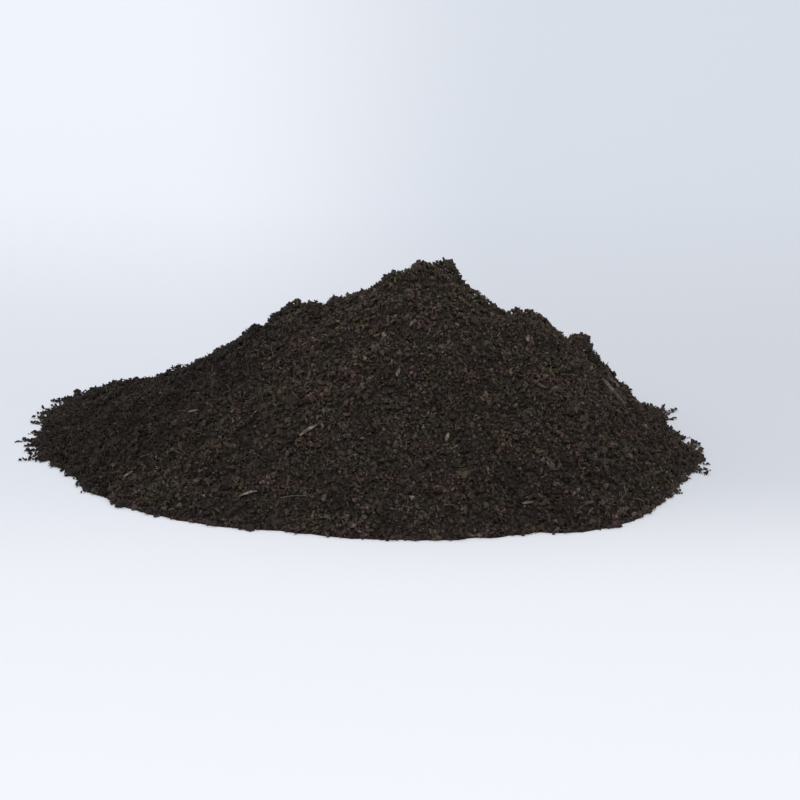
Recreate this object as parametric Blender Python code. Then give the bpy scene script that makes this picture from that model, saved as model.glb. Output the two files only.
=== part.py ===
"""A heap of screened garden compost, lying as it was tipped out on a flat top.

The heap itself is one loose mass. Nine pours that ran together give it its form: a blunt summit right of
the middle, a long left shoulder and tail, and a short steep right side. On it lie the pieces that can be
told apart: clods, splinters of wood, flakes of bark, twigs, and the crumbs that have rolled to its toe.

Metres, +Z up, +X along the heap's length, and the viewer stands on the -Y side. The origin is on the flat
top, under the middle of the whole. Places in plan are first worked out from the summit, and a bearing is
measured from +X towards +Y.
"""
import math
from collections import namedtuple

import bmesh
import bpy
import numpy as np
from mathutils import Matrix, Vector, noise
from mathutils.bvhtree import BVHTree

MM = 0.001

# The pours: where each one landed from the summit, how high it piled up, and how far its oval foot reaches
Pour = namedtuple("Pour", "x y height reach_x reach_y")
POURS = {
    "summit_cap": Pour(x=7 * MM, y=-3 * MM, height=126 * MM, reach_x=102 * MM, reach_y=89 * MM),
    "summit": Pour(x=-15 * MM, y=-28 * MM, height=136 * MM, reach_x=216 * MM, reach_y=229 * MM),
    "left_shoulder": Pour(x=-92 * MM, y=3 * MM, height=100 * MM, reach_x=203 * MM, reach_y=242 * MM),
    "left_tail": Pour(x=-229 * MM, y=58 * MM, height=27 * MM, reach_x=98 * MM, reach_y=152 * MM),
    "left_front": Pour(x=-158 * MM, y=-17 * MM, height=41 * MM, reach_x=158 * MM, reach_y=127 * MM),
    "right_shoulder": Pour(x=78 * MM, y=-23 * MM, height=97 * MM, reach_x=116 * MM, reach_y=220 * MM),
    "right_foot": Pour(x=120 * MM, y=18 * MM, height=70 * MM, reach_x=62 * MM, reach_y=84 * MM),
    "front": Pour(x=-17 * MM, y=-56 * MM, height=64 * MM, reach_x=230 * MM, reach_y=129 * MM),
    "back": Pour(x=-20 * MM, y=62 * MM, height=78 * MM, reach_x=225 * MM, reach_y=92 * MM),
}
CREST_ROUNDING = 0.10  # of a pour's reach, over which its tip is blunt
SLOPE_FLARE = 1.08  # above 1 the slope eases towards the toe
BLEND_POWER = 6  # the higher, the tighter the valleys between pours

# The surface of the loose mass
TOE_THICKNESS = 2.2 * MM  # one layer of crumbs, where the heap runs out
TOE_RAGGEDNESS = 3.6 * MM
TOE_SCALLOP = 14 * MM
CLUMP_WIDTH = 20 * MM
CLUMP_RELIEF = 7 * MM
CREASE_SHARE = 0.4  # of the clumps' relief that lies below the even slope
SWELL_WIDTH = 50 * MM
SWELL_RELIEF = 3 * MM
CLUSTER_WIDTH = 10 * MM  # of a few crumbs that hold together
CLUSTER_RELIEF = 3 * MM
RINGS = 38

# Clear space between a loose piece and what it lies on, and the step by which it is let down to find it
SEAT_GAP = 0.3 * MM
SEAT_STEP = 0.5 * MM
SEAT_HALVINGS = 9

# Clods: compost that has balled together
CLOD_WIDTH_SHARE = 0.82
CLOD_HEIGHT_SHARE = 0.58
CLOD_LUMPINESS = 0.45
CLOD_LUMPS_ACROSS = 2.3
CLOD_BEDDED_SHARE = 0.38  # of the ball, which its bed has pressed flat
LARGE_CLOD = 15 * MM  # from which a clod shows finer lumps

# Splinters of wood, and the fibre, which is a thinner one
SPLINTER_WIDTH = 3.0 * MM
SPLINTER_THICKNESS = 1.5 * MM
SPLINTER_CORNERS = (20, 95, 160, 235, 305)  # round its section, in degrees
SPLINTER_BOW = 0.05  # of its length
SPLINTER_SLANT = 0.12  # of its length, over which its torn ends slope
SPLINTER_TAPER = 0.5
SPLINTER_UNEVENNESS = 0.25
FIBRE_WIDTH = 1.0 * MM
FIBRE_THICKNESS = 0.8 * MM

# Flakes of bark
FLAKE_WIDTH_SHARE = 0.68
FLAKE_THICKNESS = 1.4 * MM
FLAKE_RIM_SHARE = 0.6  # of its thickness, left at the rim
FLAKE_CROWN_SHARE = 0.62  # of its width, which the domed middle takes
FLAKE_DOME = 0.10  # of its length
FLAKE_UNEVENNESS = 0.35
FLAKE_CORNERS = 9

# Twigs
TWIG_THICKNESS = 2.6 * MM
TWIG_KINK = 0.07  # of its length
TWIG_KNOTS = 3.5  # along its length
TWIG_KNOT_SWELL = 0.30
TWIG_TAPER = 0.25
TWIG_SIDES = 7

# Where each loose piece lies: bearing from the summit in degrees, share of the way down to the toe, the plan
# direction of its long side in degrees, and its length
Lie = namedtuple("Lie", "bearing way heading length")
CLODS = (
    Lie(bearing=4, way=0.61, heading=30, length=16 * MM),
    Lie(bearing=-150, way=0.03, heading=10, length=9 * MM),
    Lie(bearing=-14, way=0.065, heading=60, length=10 * MM),
    Lie(bearing=-168, way=0.31, heading=20, length=13 * MM),
    Lie(bearing=172, way=0.235, heading=-40, length=9 * MM),
    Lie(bearing=-140, way=0.15, heading=15, length=9 * MM),
    Lie(bearing=-5, way=0.775, heading=-30, length=10 * MM),
    Lie(bearing=-128, way=0.60, heading=35, length=10 * MM),
    Lie(bearing=-52, way=0.66, heading=-20, length=9 * MM),
    Lie(bearing=62, way=0.55, heading=70, length=13 * MM),
    Lie(bearing=118, way=0.70, heading=-15, length=11 * MM),
    Lie(bearing=152, way=0.56, heading=40, length=12 * MM),
    Lie(bearing=-5, way=0.91, heading=70, length=12 * MM),
)
SPLINTERS = (
    Lie(bearing=-119, way=0.69, heading=14, length=14 * MM),
    Lie(bearing=-152, way=0.70, heading=-2, length=9 * MM),
    Lie(bearing=-122, way=0.90, heading=10, length=12.5 * MM),
    Lie(bearing=-146, way=0.92, heading=24, length=6.5 * MM),
    Lie(bearing=-74, way=0.91, heading=-12, length=7 * MM),
    Lie(bearing=-87, way=0.69, heading=72, length=7 * MM),
    Lie(bearing=-101, way=0.51, heading=64, length=6 * MM),
    Lie(bearing=-39, way=0.42, heading=80, length=8 * MM),
    Lie(bearing=38, way=0.66, heading=-35, length=12 * MM),
    Lie(bearing=92, way=0.62, heading=15, length=13 * MM),
    Lie(bearing=136, way=0.82, heading=-60, length=9 * MM),
)
FIBRES = (
    Lie(bearing=-114, way=0.92, heading=-8, length=17 * MM),
    Lie(bearing=104, way=0.40, heading=-25, length=15 * MM),
)
FLAKES = (
    Lie(bearing=-147, way=0.22, heading=20, length=7 * MM),
    Lie(bearing=-109, way=0.72, heading=-30, length=7 * MM),
    Lie(bearing=-103, way=0.97, heading=-8, length=7 * MM),
    Lie(bearing=-109, way=0.90, heading=40, length=6 * MM),
    Lie(bearing=-71, way=0.69, heading=-20, length=6 * MM),
    Lie(bearing=-132, way=0.89, heading=10, length=6 * MM),
    Lie(bearing=76, way=0.78, heading=30, length=8 * MM),
    Lie(bearing=166, way=0.74, heading=-10, length=7 * MM),
)
TWIGS = (
    Lie(bearing=-26, way=0.70, heading=-38, length=24 * MM),
    Lie(bearing=-8, way=0.71, heading=8, length=12 * MM),
)
TOE_CRUMBS = (
    Lie(bearing=158, way=1, heading=10, length=6 * MM),
    Lie(bearing=170, way=1, heading=80, length=5 * MM),
    Lie(bearing=-178, way=1, heading=35, length=7 * MM),
    Lie(bearing=-168, way=1, heading=-20, length=5.5 * MM),
    Lie(bearing=-158, way=1, heading=60, length=6 * MM),
    Lie(bearing=-140, way=1, heading=15, length=5 * MM),
    Lie(bearing=-118, way=1, heading=-45, length=5 * MM),
    Lie(bearing=-62, way=1, heading=25, length=5 * MM),
    Lie(bearing=-34, way=1, heading=50, length=6 * MM),
    Lie(bearing=-19, way=1, heading=-10, length=5 * MM),
    Lie(bearing=-2, way=1, heading=75, length=6.5 * MM),
    Lie(bearing=14, way=1, heading=30, length=5 * MM),
    Lie(bearing=48, way=1, heading=-60, length=6 * MM),
    Lie(bearing=112, way=1, heading=5, length=5.5 * MM),
)

# Colours, linear, and how rough each finish is
COMPOST_BROWN = (0.030, 0.024, 0.020)
CLOD_BROWN = (0.036, 0.029, 0.024)
PALE_WOOD = (0.30, 0.21, 0.13)
BARK_RED_BROWN = (0.12, 0.062, 0.036)
TWIG_GREY_BROWN = (0.16, 0.115, 0.075)
COMPOST_ROUGHNESS = 0.95
WOOD_ROUGHNESS = 0.80
SMOOTH_BELOW = 50  # degrees between two faces, past which their edge is sharp


def pour_height(pour, x, y):
    """Height of one pour: a cone on an oval foot, with a rounded tip and a slope that flares to the toe."""
    share = np.hypot((x - pour.x) / pour.reach_x, (y - pour.y) / pour.reach_y)
    whole_fall = math.hypot(1, CREST_ROUNDING) - CREST_ROUNDING
    fall = (np.hypot(share, CREST_ROUNDING) - CREST_ROUNDING) / whole_fall
    return pour.height * np.clip(1 - fall, 0, None) ** SLOPE_FLARE


def heap_height(x, y):
    """Height of the pours run together: a sum of powers, which keeps the highest and fills the valleys."""
    powers = sum(pour_height(pour, x, y) ** BLEND_POWER for pour in POURS.values())
    return powers ** (1 / BLEND_POWER)


def toe_reach(bearings):
    """Distance from the summit to the toe on each bearing in radians: the last place as high as a crumb."""
    furthest = max(math.hypot(pour.x, pour.y) + max(pour.reach_x, pour.reach_y) for pour in POURS.values())
    steps = np.linspace(0, furthest, num=1200)
    heights = heap_height(np.cos(bearings)[:, None] * steps, np.sin(bearings)[:, None] * steps)
    last = heights.shape[1] - 1 - np.argmax(heights[:, ::-1] > TOE_THICKNESS, axis=1)
    row = np.arange(len(bearings))
    above, below = heights[row, last], heights[row, last + 1]
    return steps[last] + (above - TOE_THICKNESS) / (above - below) * steps[1]


def waver(points, width, seed):
    """Smooth noise from -1 to 1 at each point, whose humps are about one width across."""
    shift = Vector((seed * 7.31, seed * 3.17, seed * 5.93))
    return np.array([noise.noise(Vector(point) / width + shift) for point in points])


def heap_surface():
    """Points of the heap's upper side, ring by ring from the summit, with 6n points in ring n.

    The clumps are the noise's absolute value, which gives rounded backs with creases between them.
    """
    rows = []
    for ring in range(1, RINGS + 1):
        bearings = np.arange(6 * ring) / (6 * ring) * math.tau
        reach = toe_reach(bearings)
        toe = np.column_stack([np.cos(bearings) * reach, np.sin(bearings) * reach, np.zeros(len(reach))])
        reach = reach + TOE_RAGGEDNESS * waver(toe, TOE_SCALLOP, 1)
        rows.append(np.column_stack([np.cos(bearings), np.sin(bearings)]) * (reach * ring / RINGS)[:, None])
    plan = np.vstack([np.zeros((1, 2)), *rows])
    height = heap_height(plan[:, 0], plan[:, 1])
    smooth = np.column_stack([plan, height])
    clumps = 2 * np.abs(waver(smooth, CLUMP_WIDTH, 2)) - CREASE_SHARE
    swells = waver(smooth, SWELL_WIDTH, 3)
    clusters = waver(smooth, CLUSTER_WIDTH, 4)
    relief = CLUMP_RELIEF * clumps + SWELL_RELIEF * swells + CLUSTER_RELIEF * clusters
    fade = np.clip(height / CLUMP_WIDTH, 0, 1)
    height = np.maximum(height + relief * fade, TOE_THICKNESS)
    height[-6 * RINGS:] = TOE_THICKNESS
    return np.column_stack([plan, height])


def ring_start(ring):
    """Index of a ring's first point in the heap's upper side."""
    return 0 if ring == 0 else 1 + 3 * ring * (ring - 1)


def ring_faces(ring):
    """Triangles between a ring and the one inside it, in six like sectors, facing up."""
    outer, inner = ring_start(ring), ring_start(ring - 1)
    inner_count = max(6 * (ring - 1), 1)
    faces = []
    for sector in range(6):
        for step in range(ring):
            a = outer + sector * ring + step
            b = outer + (sector * ring + step + 1) % (6 * ring)
            c = inner + (sector * (ring - 1) + step) % inner_count
            faces.append((a, b, c))
            if step < ring - 1:
                faces.append((b, inner + (sector * (ring - 1) + step + 1) % inner_count, c))
    return faces


def heap_solid():
    """The loose mass as one solid: its upper side, an upright toe one crumb thick, and a flat underside."""
    upper = heap_surface()
    toe = upper[-6 * RINGS:] * (1, 1, 0)
    points = np.vstack([upper, toe, [[0, 0, 0]]])
    faces = [face for ring in range(1, RINGS + 1) for face in ring_faces(ring)]
    top, foot, middle = ring_start(RINGS), len(upper), len(points) - 1
    for n in range(6 * RINGS):
        following = (n + 1) % (6 * RINGS)
        faces.append((foot + n, foot + following, top + following, top + n))
        faces.append((middle, foot + following, foot + n))
    return points, faces


def lump_solid(length, seed, subdivisions):
    """A clod or crumb: a ball pushed in and out by noise, flat beneath, and stretched to its three sizes."""
    ball = bmesh.new()
    bmesh.ops.create_icosphere(ball, subdivisions=subdivisions, radius=0.5)
    points = np.array([vertex.co for vertex in ball.verts])
    faces = [[vertex.index for vertex in face.verts] for face in ball.faces]
    ball.free()
    points = points * (1 + CLOD_LUMPINESS * waver(points, 1 / CLOD_LUMPS_ACROSS, seed))[:, None]
    points[:, 2] = np.maximum(points[:, 2], CLOD_BEDDED_SHARE - 0.5)
    points = points / (points.max(axis=0) - points.min(axis=0))
    return points * (length, length * CLOD_WIDTH_SHARE, length * CLOD_HEIGHT_SHARE), faces


def rod_solid(centres, sections):
    """A solid rod: a ring of points round each centre, walled from ring to ring and closed at both ends."""
    sides = len(sections[0])
    points = np.vstack([centre + section for centre, section in zip(centres, sections)])
    faces = []
    for ring in range(len(centres) - 1):
        for side in range(sides):
            a = ring * sides + side
            b = ring * sides + (side + 1) % sides
            faces.append((a, b, b + sides, a + sides))
    faces.append(tuple(reversed(range(sides))))
    faces.append(tuple(range(len(points) - sides, len(points))))
    return points, faces


def splinter_solid(length, width, thickness, seed):
    """A split piece of wood: a five-sided section along a bowed line, thin and torn aslant at both ends."""
    along = np.linspace(-0.5, 0.5, 6)
    unevenness = SPLINTER_UNEVENNESS * waver(np.column_stack([along, along * 0, along * 0]), 0.3, seed)
    swell = (1 - SPLINTER_TAPER * (2 * along) ** 2) * (1 + unevenness)
    corners = np.radians(SPLINTER_CORNERS)
    centres, sections = [], []
    for share, size in zip(along, swell):
        slant = SPLINTER_SLANT * length * share * np.cos(corners + seed)
        centres.append(np.array([share * length, SPLINTER_BOW * length * math.cos(math.pi * share), 0]))
        sections.append(np.column_stack([
            slant, np.cos(corners) * width / 2 * size, np.sin(corners) * thickness / 2 * size]))
    return rod_solid(centres, sections)


def twig_solid(length, thickness, seed):
    """A broken twig: a round section along a kinked line, swollen at its knots and snapped off square."""
    along = np.linspace(-0.5, 0.5, 8)
    wander = waver(np.column_stack([along, along * 0 + seed, along * 0]), 0.28, seed)
    knots = 1 + TWIG_KNOT_SWELL * np.cos(along * TWIG_KNOTS * math.pi + seed) ** 8
    corners = np.arange(TWIG_SIDES) / TWIG_SIDES * math.tau
    centres, sections = [], []
    for share, side, knot in zip(along, wander, knots):
        radius = thickness / 2 * knot * (1 - TWIG_TAPER * share)
        centres.append(np.array([share * length, TWIG_KINK * length * side, 0]))
        sections.append(np.column_stack([0 * corners, np.cos(corners) * radius, np.sin(corners) * radius]))
    return rod_solid(centres, sections)


def flake_solid(length, seed):
    """A flake of bark: an uneven outline, thin at its rim and domed over its middle, with a like inner side."""
    corners = np.arange(FLAKE_CORNERS) / FLAKE_CORNERS * math.tau
    rim = np.column_stack([np.cos(corners), np.sin(corners) * FLAKE_WIDTH_SHARE, 0 * corners])
    rim = rim * (1 + FLAKE_UNEVENNESS * waver(rim, 0.7, seed))[:, None] * length / 2
    crown = rim * FLAKE_CROWN_SHARE
    dome = FLAKE_DOME * length
    crown_rise = dome * (1 - FLAKE_CROWN_SHARE ** 2)
    rim_half, half = FLAKE_RIM_SHARE * FLAKE_THICKNESS / 2, FLAKE_THICKNESS / 2
    points = np.vstack([
        rim + (0, 0, rim_half), crown + (0, 0, crown_rise + half), [[0, 0, dome + half]],
        rim - (0, 0, rim_half), crown + (0, 0, crown_rise - half), [[0, 0, dome - half]],
    ])
    under = 2 * FLAKE_CORNERS + 1
    faces = []
    for n in range(FLAKE_CORNERS):
        m = (n + 1) % FLAKE_CORNERS
        inner_n, inner_m = n + FLAKE_CORNERS, m + FLAKE_CORNERS
        faces.append((n, m, inner_m, inner_n))
        faces.append((inner_n, inner_m, under - 1))
        faces.append((under + m, under + n, under + inner_n, under + inner_m))
        faces.append((under + inner_m, under + inner_n, len(points) - 1))
        faces.append((under + n, under + m, m, n))
    return points, faces


def tree_of(points, faces):
    """A search tree over a solid's faces."""
    return BVHTree.FromPolygons([Vector(point) for point in points], faces)


def moved(points, matrix):
    """The points after a turn and a shift."""
    return points @ np.array(matrix.to_3x3()).T + np.array(matrix.translation)


def let_down(points, faces, start, direction, neighbours):
    """Move a piece from start along a direction until it would touch a neighbour, then back by the seat gap."""

    def touches(travel):
        place = start.copy()
        place.translation = start.translation + direction * travel
        piece = tree_of(moved(points, place), faces)
        return any(piece.overlap(neighbour) for neighbour in neighbours)

    clear, travel = 0.0, 0.0
    while not touches(travel):
        clear, travel = travel, travel + SEAT_STEP
    for _ in range(SEAT_HALVINGS):
        middle = (clear + travel) / 2
        if touches(middle):
            travel = middle
        else:
            clear = middle
    place = start.copy()
    place.translation = start.translation + direction * (clear - SEAT_GAP)
    return place


def plan_point(lie):
    """A lie's place in plan, from the summit."""
    bearing = math.radians(lie.bearing)
    reach = lie.way * toe_reach(np.array([bearing]))[0]
    return Vector((math.cos(bearing) * reach, math.sin(bearing) * reach, 0))


def lie_on_slope(points, faces, lie, ground, neighbours):
    """Seat a piece on the heap: turned to the slope under its ends and sides, and let down square to it."""

    def ground_at(place):
        return ground.ray_cast(Vector((place.x, place.y, 1)), Vector((0, 0, -1)))[0]

    middle = plan_point(lie)
    heading = math.radians(lie.heading)
    ahead = Vector((math.cos(heading), math.sin(heading), 0))
    aside = Vector((-ahead.y, ahead.x, 0))
    half = 0.4 * lie.length
    along = ground_at(middle + ahead * half) - ground_at(middle - ahead * half)
    across = ground_at(middle + aside * half) - ground_at(middle - aside * half)
    along.normalize()
    normal = along.cross(across).normalized()
    start = Matrix((along, normal.cross(along), normal)).transposed().to_4x4()
    clearance = lie.length + CLUMP_RELIEF + SWELL_RELIEF + CLUSTER_RELIEF
    start.translation = ground_at(middle) + normal * clearance
    return let_down(points, faces, start, -normal, neighbours)


def lean_on_toe(points, faces, lie, neighbours):
    """Seat a crumb on the flat top against the toe: stood on its lowest side, and slid in from outside."""
    middle = plan_point(lie)
    outward = middle.normalized()
    start = Matrix.Rotation(math.radians(lie.heading), 4, "Z")
    lowest = points[:, 2].min()
    start.translation = middle + outward * (2 * lie.length + TOE_RAGGEDNESS) - Vector((0, 0, lowest))
    return let_down(points, faces, start, -outward, neighbours)


def finish(name, colour, roughness):
    """A plain matt material for one piece."""
    material = bpy.data.materials.new(name + "_finish")
    material.use_nodes = True
    shader = material.node_tree.nodes["Principled BSDF"]
    shader.inputs["Base Color"].default_value = (*colour, 1)
    shader.inputs["Roughness"].default_value = roughness
    shader.inputs["Metallic"].default_value = 0
    return material


def make_object(name, points, faces, place, parent, colour, roughness):
    """One named object with its own mesh and material, shaded smooth but for its sharp edges."""
    mesh = bpy.data.meshes.new(name)
    mesh.from_pydata([tuple(point) for point in points], [], faces)
    mesh.materials.append(finish(name, colour, roughness))
    mesh.shade_smooth()
    mesh.set_sharp_from_angle(angle=math.radians(SMOOTH_BELOW))
    piece = bpy.data.objects.new(name, mesh)
    bpy.context.scene.collection.objects.link(piece)
    piece.parent = parent
    piece.matrix_local = place
    return piece


def loose_solids():
    """Name, lie, solid, colour and roughness of every loose piece, the largest kinds first."""
    for n, lie in enumerate(CLODS, 1):
        solid = lump_solid(lie.length, n, 3 if lie.length > LARGE_CLOD else 2)
        yield f"clod_{n:02d}", lie, solid, CLOD_BROWN, COMPOST_ROUGHNESS
    for n, lie in enumerate(TWIGS, 1):
        yield f"twig_{n:02d}", lie, twig_solid(lie.length, TWIG_THICKNESS, n), TWIG_GREY_BROWN, WOOD_ROUGHNESS
    for n, lie in enumerate(FLAKES, 1):
        yield f"bark_flake_{n:02d}", lie, flake_solid(lie.length, n), BARK_RED_BROWN, WOOD_ROUGHNESS
    for n, lie in enumerate(SPLINTERS, 1):
        solid = splinter_solid(lie.length, SPLINTER_WIDTH, SPLINTER_THICKNESS, n)
        yield f"wood_splinter_{n:02d}", lie, solid, PALE_WOOD, WOOD_ROUGHNESS
    for n, lie in enumerate(FIBRES, 1):
        solid = splinter_solid(lie.length, FIBRE_WIDTH, FIBRE_THICKNESS, n)
        yield f"wood_fibre_{n:02d}", lie, solid, PALE_WOOD, WOOD_ROUGHNESS
    for n, lie in enumerate(TOE_CRUMBS, 1):
        yield f"toe_crumb_{n:02d}", lie, lump_solid(lie.length, n + 40, 2), CLOD_BROWN, COMPOST_ROUGHNESS


def build():
    """Model the heap, seat each loose piece on it in turn, and centre the whole over the origin."""
    for old in list(bpy.data.objects):
        bpy.data.objects.remove(old, do_unlink=True)
    flat_top = bpy.data.objects.new("flat_top", None)
    bpy.context.scene.collection.objects.link(flat_top)

    points, faces = heap_solid()
    make_object("compost_heap", points, faces, Matrix(), flat_top, COMPOST_BROWN, COMPOST_ROUGHNESS)
    ground = tree_of(points, faces)
    neighbours = [ground]
    corners = [points]
    for name, lie, (points, faces), colour, roughness in loose_solids():
        if lie.way < 1:
            place = lie_on_slope(points, faces, lie, ground, neighbours)
        else:
            place = lean_on_toe(points, faces, lie, neighbours)
        make_object(name, points, faces, place, flat_top, colour, roughness)
        corners.append(moved(points, place))
        neighbours.append(tree_of(corners[-1], faces))

    corners = np.vstack(corners)
    middle = (corners.max(axis=0) + corners.min(axis=0)) / 2
    flat_top.location = (-middle[0], -middle[1], 0)


build()
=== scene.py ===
"""The looks of a heap of screened garden compost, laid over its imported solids.

The sections follow the heap from its inside out: the loose mass, the crumbs and grit that cover it, the fine
fibres among them, the clods, what lies on top, the ragged toe, and the clumps on its shoulder. The stage and
the camera come last.
"""
import math

import bpy
import numpy as np
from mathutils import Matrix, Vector


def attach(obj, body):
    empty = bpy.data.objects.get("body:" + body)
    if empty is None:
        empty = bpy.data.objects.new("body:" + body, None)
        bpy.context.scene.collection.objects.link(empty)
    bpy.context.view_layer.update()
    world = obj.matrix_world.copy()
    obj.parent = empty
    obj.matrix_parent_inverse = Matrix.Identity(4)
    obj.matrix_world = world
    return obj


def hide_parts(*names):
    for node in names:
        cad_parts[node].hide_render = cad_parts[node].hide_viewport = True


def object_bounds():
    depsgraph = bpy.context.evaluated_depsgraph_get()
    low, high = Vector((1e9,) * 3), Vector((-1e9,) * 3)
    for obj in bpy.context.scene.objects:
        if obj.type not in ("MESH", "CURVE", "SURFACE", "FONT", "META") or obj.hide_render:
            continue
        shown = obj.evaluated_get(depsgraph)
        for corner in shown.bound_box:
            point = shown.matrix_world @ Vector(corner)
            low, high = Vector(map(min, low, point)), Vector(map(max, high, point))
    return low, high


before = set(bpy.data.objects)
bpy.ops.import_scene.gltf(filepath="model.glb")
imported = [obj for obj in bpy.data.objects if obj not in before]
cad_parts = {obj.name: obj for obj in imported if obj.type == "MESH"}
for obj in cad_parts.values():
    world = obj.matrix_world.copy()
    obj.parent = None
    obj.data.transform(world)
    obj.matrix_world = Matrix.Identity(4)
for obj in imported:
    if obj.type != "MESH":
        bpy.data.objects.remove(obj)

cad_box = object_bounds()
MM = 0.001


# The loose mass. Damp, dark, rotted plant matter that lies as it was tipped; its darkest grain, darker than any
# crumb, is painted shade for the gaps between the crumbs. The imported heap is divided finely, roughened, and
# sunk a little, so that the crumbs above lie level with it.

MASS_DIVISIONS = 4
MASS_SINK = 2.6 * MM
MASS_GRAIN = 2.6 * MM
MASS_RELIEF = 1.6 * MM
# The mass's darkest grain is painted shade for the gaps between the crumbs; the brown is the compost's own.
MASS_DARK_AND_GAP_SHADE = (0.0055, 0.0044, 0.0036)
MASS_BROWN = (0.0400, 0.0305, 0.0235)
TOE_THICKNESS = 2.2 * MM  # of the upright edge at the heap's foot
FACE_BOW = 0.6  # how far a divided face leaves its flat place for the curve through its corners
UPRIGHT = 1e-12  # a face whose normal rises or sinks by less than this stands upright
MAP_SPAN = 2.3  # the mass's map, in lengths of the heap
MAP_SPLAY = 6  # how far the upright toe is splayed out on it
PLACE_PRIMES = (73856093, 19349663, 83492791)  # this and the next two scramble a lattice corner's place
SEED_PRIME = 40503
STIRRING = ((13, 1274126177), (16, 668265263))


def merged(points, faces):
    """Points in the same hundredth of a millimetre become one, and the faces follow them."""
    keys = np.round(points / (0.01 * MM)).astype(np.int64)
    _, first, place = np.unique(keys, axis=0, return_index=True, return_inverse=True)
    return points[first], place.reshape(-1)[faces]


def solid_of(node):
    """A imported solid's points and triangles, with the points that its triangles share made one."""
    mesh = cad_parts[node].data
    mesh.calc_loop_triangles()
    points = np.empty(3 * len(mesh.vertices), np.float32)
    mesh.vertices.foreach_get("co", points)
    faces = np.empty(3 * len(mesh.loop_triangles), np.int32)
    mesh.loop_triangles.foreach_get("vertices", faces)
    return merged(points.reshape(-1, 3).astype(float), faces.reshape(-1, 3))


def nodes_named(*kinds):
    """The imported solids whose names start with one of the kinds, in order."""
    return [name for name in sorted(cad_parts) if name.startswith(kinds)]


def unit(vectors):
    """The vectors at length one, and those of no length left as they are."""
    length = np.linalg.norm(vectors, axis=-1, keepdims=True)
    return vectors / np.where(length > 0, length, 1)


def face_normals(points, faces):
    """Each triangle's normal, as long as twice its area: the cross product of two of its sides."""
    a, b, c = points[faces[:, 0]], points[faces[:, 1]], points[faces[:, 2]]
    return np.cross(b - a, c - a)


def point_normals(points, faces):
    """At each point, the mean direction of the faces round it, weighted by their areas."""
    total = np.zeros_like(points)
    for corner in range(3):
        np.add.at(total, faces[:, corner], face_normals(points, faces))
    return unit(total)


def divided(points, faces, normals, divisions):
    """Each triangle cut into divisions squared, and bowed between its corners.

    A new point is its flat place, moved most of the way to the mean of its places on the three corners'
    tangent planes. A corner whose normal is zero has no tangent plane, and the faces round it stay flat.
    """
    steps = [(i, j) for i in range(divisions + 1) for j in range(divisions + 1 - i)]
    number = {step: n for n, step in enumerate(steps)}
    weights = np.array([(divisions - i - j, i, j) for i, j in steps]) / divisions
    corners, tangents = points[faces], normals[faces]
    flat = np.einsum("wc,fcx->fwx", weights, corners)
    height = np.einsum("fwcx,fcx->fwc", flat[:, :, None] - corners[:, None], tangents)
    bowed = flat - FACE_BOW * np.einsum("wc,fwc,fcx->fwx", weights, height, tangents)
    small = [(number[i, j], number[i + 1, j], number[i, j + 1]) for i, j in steps if i + j < divisions]
    small += [
        (number[i + 1, j], number[i + 1, j + 1], number[i, j + 1])
        for i, j in steps if i + j < divisions - 1]
    offsets = np.arange(len(faces))[:, None, None] * len(steps)
    return merged(bowed.reshape(-1, 3), (offsets + np.array(small)).reshape(-1, 3))


def waver(points, width, seed):
    """Smooth noise from -1 to 1: random values on a lattice one width apart, eased between its corners."""
    lattice = points / width + 1000.5
    corner = np.floor(lattice).astype(np.int64)
    ease = lattice - corner
    ease = ease * ease * (3 - 2 * ease)
    total = np.zeros(len(points))
    for step in np.ndindex(2, 2, 2):
        at = corner + step
        key = np.bitwise_xor.reduce(at * PLACE_PRIMES, axis=1) ^ seed * SEED_PRIME
        for shift, prime in STIRRING:
            key = (key ^ key >> shift) * prime & 0xFFFFFFFF
        total += np.prod(np.where(step, ease, 1 - ease), axis=1) * ((key >> 8 & 0xFFFF) / 32767.5 - 1)
    return total


def add_piece(name, points, faces, slot, material, bake_map=None, smooth=True, **carried):
    """A shaded mesh from arrays, riding on the heap: points, triangles, and what each point carries."""
    mesh = bpy.data.meshes.new(name)
    mesh.vertices.add(len(points))
    mesh.vertices.foreach_set("co", points.astype(np.float32).ravel())
    mesh.loops.add(faces.size)
    mesh.loops.foreach_set("vertex_index", faces.astype(np.int32).ravel())
    mesh.polygons.add(len(faces))
    mesh.polygons.foreach_set("loop_start", np.arange(0, faces.size, 3, dtype=np.int32))
    mesh.update(calc_edges=True)
    for title, values in carried.items():
        kind, field = ("FLOAT_VECTOR", "vector") if values.ndim == 2 else ("FLOAT", "value")
        mesh.attributes.new(title, kind, "POINT").data.foreach_set(field, values.astype(np.float32).ravel())
    if bake_map is not None:
        mesh.uv_layers.new(name="OFBake").uv.foreach_set("vector", bake_map.astype(np.float32).ravel())
    (mesh.shade_smooth if smooth else mesh.shade_flat)()
    mesh.materials.append(material)
    piece = bpy.data.objects.new(name, mesh)
    bpy.context.scene.collection.objects.link(piece)
    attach(piece, "root")
    return piece


class Value:
    """A number in a finish that changes over the surface. Sums and the like on it add Math nodes."""

    def __init__(self, finish, socket):
        self.finish, self.socket = finish, socket

    def maths(self, operation, first, second):
        """The two, each a Value or a plain number, through a Math node of the operation."""
        return self.finish.node("ShaderNodeMath", {"operation": operation}, {0: first, 1: second})

    def __add__(self, other):
        return self.maths("ADD", self, other)

    def __sub__(self, other):
        return self.maths("SUBTRACT", self, other)

    def __rsub__(self, other):
        return self.maths("SUBTRACT", other, self)

    def __mul__(self, other):
        return self.maths("MULTIPLY", self, other)

    def __truediv__(self, other):
        return self.maths("DIVIDE", self, other)

    __radd__, __rmul__ = __add__, __mul__


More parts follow.
